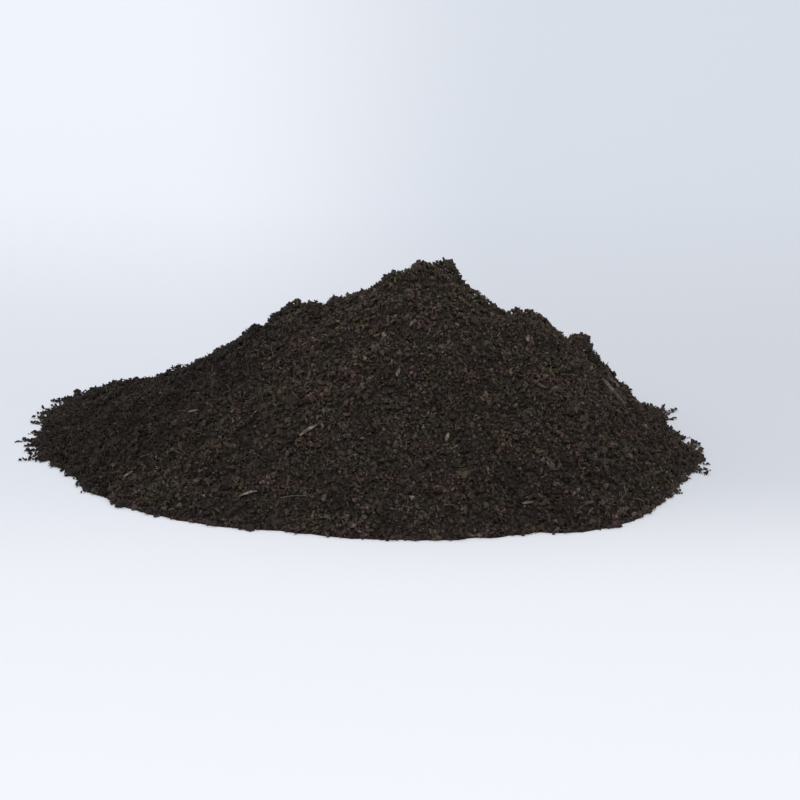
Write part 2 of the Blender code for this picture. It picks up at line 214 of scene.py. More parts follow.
class Finish:
    """A procedural material. node() adds any node, and the rest are the ways in which nodes are used here."""

    def __init__(self, name):
        self.material = bpy.data.materials.new(name)
        self.material.use_nodes = True
        self.tree = self.material.node_tree
        self.shader = self.tree.nodes["Principled BSDF"]

    def node(self, kind, settings, sockets, output=0):
        """A node of a type, its settings, then the numbers or links of its sockets. Stops are a ramp's."""
        node = self.tree.nodes.new(kind)
        for title, setting in settings.items():
            if title == "stops":
                for _ in setting[2:]:
                    node.color_ramp.elements.new(0.5)
                for element, (place, colour) in zip(node.color_ramp.elements, setting):
                    element.position, element.color = place, (*colour, 1)
            else:
                setattr(node, title, setting)
        for title, given in sockets.items():
            if isinstance(given, Value):
                self.tree.links.new(given.socket, node.inputs[title])
            else:
                node.inputs[title].default_value = given
        return Value(self, node.outputs[output])

    def place(self):
        """Where a point is on the piece, in metres."""
        return self.node("ShaderNodeTexCoord", {}, {}, "Object")

    def speckle(self, size, detail=2, vector=None):
        """Noise from 0 to 1 whose patches are about size across."""
        sockets = {"Vector": vector or self.place(), "Scale": 0.5 / size, "Detail": detail, "Roughness": 0.6}
        return self.node("ShaderNodeTexNoise", {"normalize": True}, sockets, "Fac")

    def ramp(self, factor, *stops):
        """Colours along a factor from 0 to 1."""
        return self.node("ShaderNodeValToRGB", {"stops": stops}, {"Fac": factor})

    def mixed(self, factor, first, second, blend="MIX"):
        """Two colours mixed by a factor, or the second multiplied into the first."""
        colours = [colour if isinstance(colour, Value) else (*colour, 1) for colour in (first, second)]
        settings = {"data_type": "RGBA", "blend_type": blend}
        return self.node("ShaderNodeMix", settings, {0: factor, 6: colours[0], 7: colours[1]}, 2)

    def carried(self, title, output="Fac"):
        """What the mesh carries at each point under a title."""
        return self.node("ShaderNodeAttribute", {"attribute_name": title}, {}, output)

    def dress(self, colour, roughness, height, relief, gloss):
        """Join colour, roughness and bump to the shader. Gloss is its specular level, the same all over."""
        bump = self.node("ShaderNodeBump", {}, {"Height": height, "Distance": relief, "Strength": 1.0})
        for title, value in (("Base Color", colour), ("Roughness", roughness), ("Normal", bump)):
            self.tree.links.new(value.socket, self.shader.inputs[title])
        self.shader.inputs["Specular IOR Level"].default_value = gloss
        return self.material


mass_finish = Finish("damp_compost_and_gap_shade")
mass_grain = mass_finish.speckle(1.4 * MM, 3)
# The mass's colour, its darkest grain being painted shade in the gaps between the crumbs.
mass_colour_and_gap_shade = mass_finish.ramp(mass_grain, (0.40, MASS_DARK_AND_GAP_SHADE), (0.72, MASS_BROWN))
mass_material = mass_finish.dress(mass_colour_and_gap_shade, 0.75 + 0.2 * mass_grain, mass_grain, 0.8 * MM, 0.15)

mass_points, mass_faces = solid_of("compost_heap")
summit = mass_points[mass_points[:, 2].argmax()]
upper = face_normals(mass_points, mass_faces)[:, 2] > 0
mass_normals = point_normals(mass_points, mass_faces[upper])
skin_points, skin_faces = divided(mass_points, mass_faces, mass_normals, MASS_DIVISIONS)
skin_rise = face_normals(skin_points, skin_faces)[:, 2]
skin_upper = skin_faces[skin_rise > UPRIGHT]
skin_normals = point_normals(skin_points, skin_upper)
mass_depth = MASS_SINK - MASS_RELIEF * waver(skin_points, MASS_GRAIN, 1)
sunk_points = skin_points - skin_normals * mass_depth[:, None]
sunk_points[:, 2] = np.maximum(sunk_points[:, 2], 0)

# Its map lays the upper side flat as seen from above, with the upright toe splayed out round it, and the
# underside beside them.
heap_length = np.ptp(skin_points[:, 0])
splay = 1 + MAP_SPLAY * (TOE_THICKNESS - skin_points[:, 2:]).clip(0) / heap_length
skin_map = (skin_points[:, :2] * splay)[skin_faces] / (MAP_SPAN * heap_length) + (0.25, 0.5)
skin_map[skin_rise < -UPRIGHT] += (0.5, 0)
loose_mass = add_piece(
    "loose_mass", sunk_points, skin_faces, "compost", mass_material, skin_map, smooth=False)
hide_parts("compost_heap")


# The crumbs. Compost rubbed through a sieve falls into crumbs of rotted leaf, bark and root, mostly 2 to 4 mm
# across, with grit of half that between them. Some have stuck together in loose clusters. Each is a rough lump
# of its own shape and shade, and together they cover the whole mass.

CRUMB_COUNT = 8000
CRUMB_SIZES = (3.0 * MM, 3.8 * MM, 4.8 * MM)
CRUMB_SHARES = (0.58, 0.34, 0.08)
CRUMB_RISE = (-0.35, 0.20)  # of its size, by which a crumb's middle stands out of the slope
SMALL_CRUMB_COUNT = 30000
SMALL_CRUMB_SIZES = (2.1 * MM, 2.6 * MM, 3.0 * MM)
SMALL_CRUMB_SHARES = (0.30, 0.40, 0.30)
SMALL_CRUMB_RISE = (-0.35, 0.40)
CLUSTER_COUNT = 750
CLUSTER_SIZE = (4.5 * MM, 8.0 * MM)
CLUSTER_RISE = (-0.20, 0.10)
CLUSTER_MEMBERS = 7
MEMBER_SIZE = (0.38, 0.62)  # of its cluster's size
MEMBER_REACH = 0.30  # of its cluster's size, from middle to middle
MEMBER_SHADE_SPREAD = 0.08  # about its cluster's shade
PALEST_CLUSTER = 0.90
PALEST_MEMBER = 0.97
GRIT_COUNT = 26000
GRIT_SIZES = (1.2 * MM, 1.6 * MM, 2.0 * MM)
GRIT_SHARES = (0.35, 0.40, 0.25)
SIZE_SPREAD = (0.82, 1.18)  # of a lump's class of size
ROUGHING = 0.36  # of a lump's radius
ROUGHING_LIMIT = 1.8  # times that, in or out
STUBBY_SHARE = 0.64
STUBBY_WIDTH = (0.65, 1.00)  # of a stubby lump's length
STUBBY_HEIGHT = (0.50, 0.85)
LONG_HABIT = (1.75, 0.62, 0.70)  # what makes a stubby lump a bit of stalk
FLAT_HABIT = (1.30, 1.15, 0.40)  # and what makes it a bit of leaf
GROUND_GAP = 0.02 * MM
LAID_REACH = 4 * MM  # round a piece that lies on the heap, within which crumbs may be in its way
LAID_ROOM = 0.42  # of a crumb's size, kept clear about its middle
LAID_SPARE = 0.15 * MM
CRUMB_PIECES = 2
CELL_RIM = 0.05  # of a map's cell, left empty round its net
BROAD_PATCH = 30 * MM
FINE_PATCH = 9 * MM
PATCH_DEPTHS = (0.50, 0.80, 0.55)  # in the tone and painted shading, of the broad patches, the fine ones and the streaks
STREAK_WIDTH = 6 * MM  # of the faint streaks that ran down the slopes, at STREAK_REACH from the summit
STREAK_REACH = 150 * MM
STREAK_LENGTH = 34 * MM
PAINTED_SHADING_BY_HEIGHT = 0.90  # painted light and shade, from the summit down to the toe: lighter high on the heap, darker low
PAINTED_SHADING_LEVEL = 0.42  # of the summit's height, where that is nought
PAINTED_SHADE_LEFT_END = 1.15  # painted shade out along the low left end, from TAIL_START to TAIL_END
TAIL_START = 60 * MM
TAIL_END = -95 * MM
TAIL_SLANT = 1.0  # the painted shade sets in this much further left for each length nearer the front

dice = np.random.default_rng(11)


def ball_net(ring_size, bands):
    """A faceted ball and its paper net, a row of strips from the top point to the bottom one.

    With one band, one ring of points stands between the two. With two, there are two rings at the heights of
    an icosahedron's, the lower one turned half a step.
    """
    turn = np.arange(ring_size) * math.tau / ring_size
    rows = [np.array([[0, 0, 1.0]])]
    for band in range(bands):
        height = 0 if bands == 1 else math.sin(math.atan(0.5)) * (1 - 2 * band)
        around = turn + band * math.pi / ring_size
        flat = math.sqrt(1 - height ** 2)
        rows.append(np.column_stack([np.cos(around) * flat, np.sin(around) * flat, 0 * around + height]))
    rows.append(np.array([[0, 0, -1.0]]))
    points = np.vstack(rows)
    bottom = len(points) - 1
    faces, net = [], []
    for k in range(ring_size):
        here, onward = 1 + k, 1 + (k + 1) % ring_size
        faces.append((0, here, onward))
        net.append(((k + 0.5, bands + 1), (k, bands), (k + 1, bands)))
        if bands == 1:
            faces.append((here, bottom, onward))
            net.append(((k, 1), (k + 0.5, 0), (k + 1, 1)))
        else:
            below, below_onward = here + ring_size, onward + ring_size
            faces += [(here, below, onward), (below, below_onward, onward), (below, bottom, below_onward)]
            net += [((k, 2), (k + 0.5, 1), (k + 1, 2)), ((k + 0.5, 1), (k + 1.5, 1), (k + 1, 2)),
                    ((k + 0.5, 1), (k + 1, 0), (k + 1.5, 1))]
    return points, np.array(faces), np.array(net) / (ring_size + 1, bands + 1)


CRUMB_BALL = ball_net(5, 2)
SMALL_CRUMB_BALL = ball_net(4, 1)
GRIT_BALL = ball_net(3, 1)
TOE_BALL = ball_net(5, 1)


def random_turns(count):
    """Turn matrices spread evenly over all turns, from random unit quaternions."""
    w, x, y, z = unit(dice.normal(size=(count, 4))).T
    return np.stack([
        np.stack([1 - 2 * (y * y + z * z), 2 * (x * y - z * w), 2 * (x * z + y * w)], axis=-1),
        np.stack([2 * (x * y + z * w), 1 - 2 * (x * x + z * z), 2 * (y * z - x * w)], axis=-1),
        np.stack([2 * (x * z - y * w), 2 * (y * z + x * w), 1 - 2 * (x * x + y * y)], axis=-1),
    ], axis=1)


def picked_sizes(count, sizes, shares):
    """Sizes in the shares that the sieve lets through, each a little off its class."""
    return dice.choice(sizes, count, p=shares) * dice.uniform(*SIZE_SPREAD, count)


def habits(count, stubby_share):
    """How each lump is stretched three ways: most are stubby, and the rest long as stalk or flat as leaf."""
    widths, heights = dice.uniform(*STUBBY_WIDTH, count), dice.uniform(*STUBBY_HEIGHT, count)
    stubby = np.column_stack([np.ones(count), widths, heights])
    kind = dice.random(count)[:, None]
    stretched = np.where(kind < (1 + stubby_share) / 2, stubby * LONG_HABIT, stubby * FLAT_HABIT)
    return np.where(kind < stubby_share, stubby, stretched)


def lump_points(ball, centres, sizes, roughing, stubby_share):
    """Rough lumps: the ball's points pushed in or out at random, stretched, turned and moved."""
    count = len(centres)
    rough = 1 + roughing * dice.normal(size=(count, len(ball), 1)).clip(-ROUGHING_LIMIT, ROUGHING_LIMIT)
    lumps = ball * rough * habits(count, stubby_share)[:, None] * sizes[:, None, None] / 2
    lumps = np.einsum("nij,npj->npi", random_turns(count), lumps) + centres[:, None]
    lumps[..., 2] = np.maximum(lumps[..., 2], GROUND_GAP)
    return lumps


def tone_and_painted_shading_of(points):
    """Where the heap lies lighter or darker, from about -1.5 to 1.5: patches, and streaks down its slopes.

    A streak's noise is read at the direction from the summit, drawn out along the way down. Over these lie
    painted light high on the heap, and painted shade towards its toe and along its low left end.
    """
    plan = points[:, :2] - summit[:2]
    reach = np.linalg.norm(plan, axis=1, keepdims=True)
    fan = np.hstack([plan / np.maximum(reach, 1e-6) * STREAK_REACH / STREAK_WIDTH, reach / STREAK_LENGTH])
    layers = [waver(points, BROAD_PATCH, 21), waver(points, FINE_PATCH, 22), waver(fan, 1, 23)]
    patches = np.dot(PATCH_DEPTHS, layers)
    # Painted light and shade: lighter high on the heap, darker towards the toe and along the low left end.
    along = points[:, 0] - TAIL_SLANT * points[:, 1].clip(None, 0)
    tail = ((along - TAIL_START) / (TAIL_END - TAIL_START)).clip(0, 1)
    painted_shading = PAINTED_SHADING_BY_HEIGHT * (points[:, 2] / summit[2] - PAINTED_SHADING_LEVEL) - PAINTED_SHADE_LEFT_END * tail * tail * (3 - 2 * tail)
    return patches + painted_shading


def net_cells(net, count):
    """Each lump's net in a cell of its own, row by row over a square map."""
    side = math.ceil(math.sqrt(count))
    cell = np.column_stack([np.arange(count) % side, np.arange(count) // side])
    return (cell[:, None, None] + CELL_RIM + (1 - 2 * CELL_RIM) * net) / side


def lump_arrays(ball, centres, sizes, shades, roughing=ROUGHING, stubby_share=STUBBY_SHARE):
    """Points, triangles, map, and each point's shade, and its tone with painted shading, for many lumps of one
    kind.
    """
    pattern, pattern_faces, net = ball
    lumps = lump_points(pattern, centres, sizes, roughing, stubby_share)
    count, corners = lumps.shape[:2]
    faces = pattern_faces[None] + corners * np.arange(count)[:, None, None]
    carried = {"shade": np.repeat(shades, corners), "drift": np.repeat(tone_and_painted_shading_of(centres), corners)}
    return lumps.reshape(-1, 3), faces.reshape(-1, 3), net_cells(net, count), carried


def scattered(points, faces, count):
    """Random places on a surface, as many as its area earns, with the normal of the face under each."""
    normals = face_normals(points, faces)
    area = np.linalg.norm(normals, axis=1)
    chosen = dice.choice(len(faces), count, p=area / area.sum())
    a, b = np.sqrt(dice.random(count)), dice.random(count)
    weights = np.column_stack([1 - a, a * (1 - b), a * b])
    return np.einsum("nc,ncx->nx", weights, points[faces[chosen]]), unit(normals[chosen])


def clear_of_laid(centres, sizes):
    """Which lumps leave room for what lies on the heap: no point of it is much nearer than half their size."""
    clear = np.ones(len(centres), bool)
    for node in nodes_named("clod", "wood", "bark", "twig", "toe"):
        points, faces = solid_of(node)
        samples = np.vstack([points, points[faces].mean(axis=1)])
        inside = (centres > samples.min(axis=0) - LAID_REACH) & (centres < samples.max(axis=0) + LAID_REACH)
        near = np.flatnonzero(inside.all(axis=1))
        gaps = np.linalg.norm(centres[near, None] - samples, axis=2).min(axis=1, initial=1)
        clear[near] = gaps > LAID_ROOM * sizes[near] + LAID_SPARE
    return clear


def add_cover(name, ball, centres, sizes, shades, pieces):
    """The lumps as a few pieces, each the share of them that lies in one sector round the summit."""
    bearing = np.arctan2(centres[:, 1] - summit[1], centres[:, 0] - summit[0])
    for n, share in enumerate(np.array_split(np.argsort(bearing), pieces), 1):
        points, faces, cells, carried = lump_arrays(ball, centres[share], sizes[share], shades[share])
        add_piece(f"{name}_{n}", points, faces, "crumb", crumb_material, cells, smooth=False, **carried)


def raised(places, normals, sizes, rise):
    """The places moved out of the slope by a random share of each lump's size."""
    return places + normals * (sizes * dice.uniform(*rise, len(sizes)))[:, None]


crumb_finish = Finish("crumb")
crumb_grain = crumb_finish.speckle(0.8 * MM, 3)
crumb_palette = crumb_finish.ramp(
    crumb_finish.carried("shade") + 0.10 * (crumb_grain - 0.5),
    (0.00, (0.0150, 0.0117, 0.0096)),
    (0.40, (0.0310, 0.0240, 0.0192)),
    (0.72, (0.0470, 0.0355, 0.0270)),
    (0.88, (0.0590, 0.0430, 0.0345)),
    (0.955, (0.0740, 0.0580, 0.0460)),
    (0.985, (0.0900, 0.0780, 0.0640)),
    (1.00, (0.1250, 0.1080, 0.0860)),
)
crumb_mottle = crumb_finish.ramp(crumb_grain, (0.30, (0.60, 0.60, 0.60)), (0.70, (1.30, 1.30, 1.30)))
# Each point's tone as a tint: random patches and streaks, with painted light high on the heap and painted shade
# low and at its left end.
crumb_tone_and_painted_shading = crumb_finish.ramp(
    0.5 + crumb_finish.carried("drift") / 3,
    (0.00, (0.34, 0.305, 0.295)), (0.50, (0.98, 0.925, 0.85)), (1.00, (1.50, 1.39, 1.265)))
crumb_kind = crumb_finish.ramp(
    crumb_finish.speckle(9 * MM, 3),
    (0.36, (0.92, 1.04, 0.96)), (0.50, (1, 1, 1)), (0.64, (1.14, 0.93, 1.03)))
crumb_cast = crumb_finish.ramp(
    crumb_finish.speckle(7 * MM, 3), (0.34, (0.99, 1.02, 0.80)), (0.66, (1.00, 0.98, 1.20)))
crumb_colour = crumb_palette
for tint in (crumb_mottle, crumb_tone_and_painted_shading, crumb_kind, crumb_cast):
    crumb_colour = crumb_finish.mixed(1.0, crumb_colour, tint, "MULTIPLY")
crumb_material = crumb_finish.dress(crumb_colour, 0.60 + 0.35 * crumb_grain, crumb_grain, 0.5 * MM, 0.22)

places, normals = scattered(skin_points, skin_upper, CRUMB_COUNT)
sizes = picked_sizes(CRUMB_COUNT, CRUMB_SIZES, CRUMB_SHARES)
centres = raised(places, normals, sizes, CRUMB_RISE)
shades = dice.random(CRUMB_COUNT)

cluster_places, cluster_normals = scattered(skin_points, skin_upper, CLUSTER_COUNT)
cluster_sizes = dice.uniform(*CLUSTER_SIZE, CLUSTER_COUNT)
ways = unit(dice.normal(size=(CLUSTER_COUNT, CLUSTER_MEMBERS, 3)))
cluster_centres = raised(cluster_places, cluster_normals, cluster_sizes, CLUSTER_RISE)
member_centres = cluster_centres[:, None] + ways * cluster_sizes[:, None, None] * MEMBER_REACH
member_centres = member_centres.reshape(-1, 3)
member_sizes = np.repeat(cluster_sizes, CLUSTER_MEMBERS) * dice.uniform(*MEMBER_SIZE, len(member_centres))
member_shades = np.repeat(dice.random(CLUSTER_COUNT) * PALEST_CLUSTER, CLUSTER_MEMBERS)
member_shades = member_shades + dice.normal(scale=MEMBER_SHADE_SPREAD, size=len(member_shades))
member_shades = member_shades.clip(0, PALEST_MEMBER)

centres = np.vstack([centres, member_centres])
sizes = np.append(sizes, member_sizes)
shades = np.append(shades, member_shades)
clear = clear_of_laid(centres, sizes)
add_cover("crumb_cover", CRUMB_BALL, centres[clear], sizes[clear], shades[clear], CRUMB_PIECES)

for name, ball, count, classes, shares in (
    ("small_crumb_cover", SMALL_CRUMB_BALL, SMALL_CRUMB_COUNT, SMALL_CRUMB_SIZES, SMALL_CRUMB_SHARES),
    ("grit_cover", GRIT_BALL, GRIT_COUNT, GRIT_SIZES, GRIT_SHARES),
):
    places, normals = scattered(skin_points, skin_upper, count)
    sizes = picked_sizes(count, classes, shares)
    centres = raised(places, normals, sizes, SMALL_CRUMB_RISE)
    shades = dice.random(count)
    clear = clear_of_laid(centres, sizes)
    add_cover(name, ball, centres[clear], sizes[clear], shades[clear], CRUMB_PIECES)


# The fine fibres. Rootlets, stalks and shreds of bark that the sieve let through end on, 4 to 12 mm long and
# under a millimetre thick. They lie on the crumbs or stick out between them.

FIBRE_COUNT = 2300
FIBRE_LENGTH = (3.5 * MM, 11.0 * MM)
FIBRE_SHORTENING = (0.55, 1)  # of that length, where the end has broken off
FIBRE_THICKNESS = (0.35 * MM, 0.80 * MM)
FIBRE_STATIONS = 5
FIBRE_SIDES = 3
FIBRE_BOW = 0.10  # of its length
FIBRE_WAVE = 0.05
FIBRE_ARCH = 0.05
FIBRE_TAPER = 0.55  # of its thickness, lost at each end
FIBRE_UNEVENNESS = (0.8, 1.2)
FIBRE_FLATNESS = 0.7
FIBRE_LIFT = (0.2 * MM, 1.3 * MM)
FIBRE_TILT = 0.32
FIBRE_SWING = 0.9  # how far their headings swing off the slope's fall, as a share of it
FIBRE_GROUND_GAP = 0.1 * MM
ANY_TURN = (0, 6)  # radians


def fibre_net():
    """Triangles and net of a three-sided rod: strips from station to station, and a triangle on each end."""
    faces, net = [], []
    end = FIBRE_STATIONS - 1
    for i in range(end):
        for k in range(FIBRE_SIDES):
            a, b = FIBRE_SIDES * i + k, FIBRE_SIDES * i + (k + 1) % FIBRE_SIDES
            faces += [(a, b, b + FIBRE_SIDES), (a, b + FIBRE_SIDES, a + FIBRE_SIDES)]
            net += [((i, k), (i, k + 1), (i + 1, k + 1)), ((i, k), (i + 1, k + 1), (i + 1, k))]
    last = FIBRE_SIDES * end
    faces += [(0, 2, 1), (last, last + 1, last + 2)]
    near, far = end + 0.1, end + 0.9
    net += [((near, 0), (far, 0.5), (near, 1)), ((near, 1.5), (far, 2), (near, 2.5))]
    return np.array(faces), np.array(net) / (FIBRE_STATIONS, FIBRE_SIDES)


def fibre_points(centres, ahead, up, lengths, thicknesses):
    """Curved rods: a line through each centre, bowed by a cosine and waved by a sine.

    At each station stands a triangle, whose radius falls with the fourth power of the way from the middle.
    """
    one_each = (len(centres), 1)
    share = np.linspace(-0.5, 0.5, FIBRE_STATIONS)
    aside = unit(np.cross(up, ahead))
    bow = dice.normal(scale=FIBRE_BOW, size=one_each) * np.cos(math.pi * share)
    wave = dice.normal(scale=FIBRE_WAVE, size=one_each)
    wave = wave * np.sin(math.tau * share + dice.uniform(*ANY_TURN, one_each))
    arch = dice.normal(scale=FIBRE_ARCH, size=one_each) * np.cos(math.pi * share)
    line = ahead[:, None] * share[:, None]
    line = line + aside[:, None] * (bow + wave)[..., None] + up[:, None] * arch[..., None]
    line = centres[:, None] + line * lengths[:, None, None]
    turn = np.arange(FIBRE_SIDES) * math.tau / FIBRE_SIDES + dice.uniform(*ANY_TURN, one_each)
    radius = thicknesses[:, None] / 2 * (1 - FIBRE_TAPER * (2 * share) ** 4)
    radius = radius * dice.uniform(*FIBRE_UNEVENNESS, radius.shape)
    section = np.cos(turn)[..., None] * aside[:, None]
    section = section + FIBRE_FLATNESS * np.sin(turn)[..., None] * up[:, None]
    return line[:, :, None] + section[:, None] * radius[..., None, None]


fibre_finish = Finish("fine_fibre")
fibre_grain = fibre_finish.speckle(0.5 * MM, 2)
fibre_palette = fibre_finish.ramp(
    fibre_finish.carried("shade"),
    (0.00, (0.0220, 0.0168, 0.0130)),
    (0.50, (0.0460, 0.0345, 0.0255)),
    (0.78, (0.0750, 0.0520, 0.0360)),
    (0.93, (0.1050, 0.0820, 0.0580)),
    (1.00, (0.1700, 0.1400, 0.1050)),
)
fibre_mottle = fibre_finish.ramp(fibre_grain, (0.30, (0.65, 0.63, 0.60)), (0.70, (1.2, 1.2, 1.2)))
fibre_colour = fibre_finish.mixed(1.0, fibre_palette, fibre_mottle, "MULTIPLY")
fibre_material = fibre_finish.dress(fibre_colour, 0.55 + 0.35 * fibre_grain, fibre_grain, 0.2 * MM, 0.25)

places, up = scattered(skin_points, skin_upper, FIBRE_COUNT)
lengths = dice.uniform(*FIBRE_LENGTH, FIBRE_COUNT) * dice.uniform(*FIBRE_SHORTENING, FIBRE_COUNT)
thicknesses = dice.uniform(*FIBRE_THICKNESS, FIBRE_COUNT)
fall = unit(up * (1, 1, 0)) + FIBRE_SWING * dice.normal(size=(FIBRE_COUNT, 3))
ahead = unit(fall - up * (up * fall).sum(axis=1, keepdims=True))
ahead = unit(ahead + up * dice.normal(scale=FIBRE_TILT, size=(FIBRE_COUNT, 1)))
places = places + up * dice.uniform(*FIBRE_LIFT, (FIBRE_COUNT, 1))
up = unit(up - ahead * (up * ahead).sum(axis=1, keepdims=True))
rods = fibre_points(places, ahead, up, lengths, thicknesses)
rods[..., 2] = np.maximum(rods[..., 2], FIBRE_GROUND_GAP)
rod_faces, rod_net = fibre_net()
rod_corners = FIBRE_SIDES * FIBRE_STATIONS
rod_faces = rod_faces[None] + rod_corners * np.arange(FIBRE_COUNT)[:, None, None]
add_piece(
    "fine_fibres", rods.reshape(-1, 3), rod_faces.reshape(-1, 3), "pale_wood", fibre_material,
    net_cells(rod_net, FIBRE_COUNT), shade=np.repeat(dice.random(FIBRE_COUNT), rod_corners))


# The clods, and the crumbs that lean on the toe. Compost that has balled together: a firm core, grown rough
# with the crumbs that stick to it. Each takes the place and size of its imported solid.

CLOD_DIVISIONS = 2
CLOD_RELIEF = 0.7 * MM
CLOD_GRAIN = 3.0 * MM
CLOD_SINK = 0.9 * MM
CLOD_SHADE = 0.2
CLOD_AREA_A_CRUMB = 3.6 * MM * MM
CLOD_CRUMB_SIZES = (1.5 * MM, 2.3 * MM, 3.1 * MM)
CLOD_CRUMB_SHARES = (0.40, 0.40, 0.20)
CLOD_CRUMB_RISE = (-0.30, 0.05)
CLOD_CRUMB_SHADES = (2, 3)  # the two weights of their beta distribution
CRUMB_SCALE_START = 0.55  # of those sizes, on a clod of no length
CRUMB_SCALE_GROWTH = 0.06 / MM  # of them, for each millimetre of its length
WEDGE_GAP = (0.6 * MM, 5.0 * MM)  # between a clod and the mass, where crumbs are caught
WEDGE_SPARE = 1.4 * MM


def wedged(points):
    """Places and sizes of the crumbs caught under a clod, midway between it and the mass."""
    reach = np.ptp(points, axis=0).max() / 2 + WEDGE_GAP[1]
    ground = skin_points[(np.abs(skin_points - points.mean(axis=0)) < reach).all(axis=1)]
    gaps = np.linalg.norm(ground[None] - points[:, None], axis=2)
    nearest = ground[gaps.argmin(axis=1)]
    gap = gaps.min(axis=1)
    under = (gap > WEDGE_GAP[0]) & (gap < WEDGE_GAP[1]) & (points[:, 2] > nearest[:, 2])
    return ((points + nearest) / 2)[under], gap[under] + WEDGE_SPARE


def add_clod(node):
    """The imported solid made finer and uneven, with crumbs stuck over it and caught under it, in its place."""
    points, faces = solid_of(node)
    caught_places, caught_sizes = wedged(points)
    points, faces = divided(points, faces, point_normals(points, faces), CLOD_DIVISIONS)
    area = np.linalg.norm(face_normals(points, faces), axis=1).sum() / 2
    count = int(area / CLOD_AREA_A_CRUMB)
    crumb_scale = min(1, CRUMB_SCALE_START + CRUMB_SCALE_GROWTH * np.ptp(points[:, 0]))
    places, normals = scattered(points, faces, count)
    sizes = crumb_scale * picked_sizes(count, CLOD_CRUMB_SIZES, CLOD_CRUMB_SHARES)
    places = np.vstack([raised(places, normals, sizes, CLOD_CRUMB_RISE), caught_places])
    sizes = np.append(sizes, caught_sizes)
    shades = dice.beta(*CLOD_CRUMB_SHADES, len(sizes))
    stuck_points, stuck_faces, _, carried = lump_arrays(CRUMB_BALL, places, sizes, shades)
    depth = CLOD_SINK + CLOD_RELIEF * waver(points, CLOD_GRAIN, 5)
    core = points - point_normals(points, faces) * depth[:, None]
    shade = np.append(np.full(len(core), CLOD_SHADE), carried["shade"])
    # The core and its crumbs carry the random tone with painted light high on the heap and painted shade low
    # and at its left end.
    drift = np.append(tone_and_painted_shading_of(core), carried["drift"])
    points = np.vstack([core, stuck_points])
    faces = np.vstack([faces, stuck_faces + len(core)])
    piece = add_piece(
        node + "_rough", points, faces, "crumb", crumb_material, smooth=False, shade=shade, drift=drift)
    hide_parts(node)


for node in nodes_named("clod", "toe_crumb"):
    add_clod(node)


# The splinters, thin fibres and twigs. Split wood and twig ends that haven't rotted: pale within, greyed
# outside, grooved along the grain, and dusted with compost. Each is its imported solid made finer.

WOOD_DIVISIONS = 4
WOOD_GROOVE = 0.12 * MM
WOOD_GROOVE_WIDTH = 0.5 * MM
SPLIT_BOW = 0.6  # of the bow that a divided face would take, which leaves the split edges crisp
GRAIN_DRAWN = (0.10, 1, 1)  # how the grain's noise is read: slowly along the wood
WOOD_DUST = (0.030, 0.023, 0.018)
DUST_DEPTH = 0.75  # of its colour, where the dust lies thickest


def own_axes(points):
    """Each point's place along, across and through its piece: measured on the piece's own principal axes."""
    centred = points - points.mean(axis=0)
    axes = np.linalg.svd(centred, full_matrices=False)[2]
    return centred @ axes.T


def add_refined(node, slot, material, relief, drawn, width):
    """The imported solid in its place, made finer and grooved by noise drawn out along its own length."""
    points, faces = solid_of(node)
    points, faces = divided(points, faces, SPLIT_BOW * point_normals(points, faces), WOOD_DIVISIONS)
    grain = own_axes(points)
    groove = relief * waver(grain * drawn + points.mean(axis=0), width, 7)
    points = points + point_normals(points, faces) * groove[:, None]
    piece = add_piece(node + "_grained", points, faces, slot, material, grain=grain)
    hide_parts(node)


def wood_finish(name, pale, brown, dust_share):
    """Wood with streaks along its grain from pale to brown, and compost dust in patches over it."""
    finish = Finish(name)
    sockets = {0: finish.carried("grain", "Vector"), 1: GRAIN_DRAWN}
    along = finish.node("ShaderNodeVectorMath", {"operation": "MULTIPLY"}, sockets)
    streak = finish.speckle(0.35 * MM, 3, along)
    broad = finish.speckle(1.6 * MM, 2)
    dust = finish.ramp(broad, (0.62 - dust_share, (1, 1, 1)), (0.72 - dust_share, (0, 0, 0)))
    wood = finish.ramp(streak, (0.30, brown), (0.65, pale))
    colour = finish.mixed(dust * DUST_DEPTH, wood, WOOD_DUST)
    return finish.dress(colour, 0.65 + 0.25 * streak, streak, 0.25 * MM, 0.25)


pale_wood = wood_finish("split_wood", (0.210, 0.178, 0.146), (0.095, 0.072, 0.054), 0.14)
twig_wood = wood_finish("twig_wood", (0.130, 0.104, 0.084), (0.055, 0.041, 0.033), 0.16)
brown_fibre = wood_finish("brown_fibre", (0.110, 0.082, 0.058), (0.048, 0.036, 0.028), 0.20)
for kind, slot, wood in (
    ("wood_splinter", "pale_wood", pale_wood),
    ("wood_fibre", "pale_wood", brown_fibre),
    ("twig", "twig_wood", twig_wood),
):
    for node in nodes_named(kind):
        add_refined(node, slot, wood, WOOD_GROOVE, GRAIN_DRAWN, WOOD_GROOVE_WIDTH)


# The bark flakes. Thin red-brown scales of bark, cracked in rough layers, with a torn rim. Each is its packed
# solid made finer.

BARK_RELIEF = 0.55 * MM
BARK_DRAWN = (0.6, 1, 1)
BARK_GRAIN = 1.4 * MM

bark_finish = Finish("bark")
bark_grain = bark_finish.speckle(0.8 * MM, 3)
bark_patch = bark_finish.speckle(1.3 * MM, 2)
bark_colour = bark_finish.ramp(
    bark_patch, (0.42, (0.020, 0.015, 0.012)), (0.54, (0.050, 0.032, 0.025)), (0.68, (0.105, 0.078, 0.060)))
bark_mottle = bark_finish.ramp(bark_grain, (0.30, (0.55, 0.55, 0.55)), (0.70, (1.25, 1.25, 1.25)))
bark_colour = bark_finish.mixed(1.0, bark_colour, bark_mottle, "MULTIPLY")
bark_material = bark_finish.dress(bark_colour, 0.60 + 0.35 * bark_grain, bark_grain, 0.5 * MM, 0.2)
for node in nodes_named("bark"):
    add_refined(node, "bark", bark_material, BARK_RELIEF, BARK_DRAWN, BARK_GRAIN)


# The ragged toe. Crumbs that rolled down and stopped against the heap or against each other, one layer thick.
# They lie closest all round the toe, and reach furthest out at its two ends.

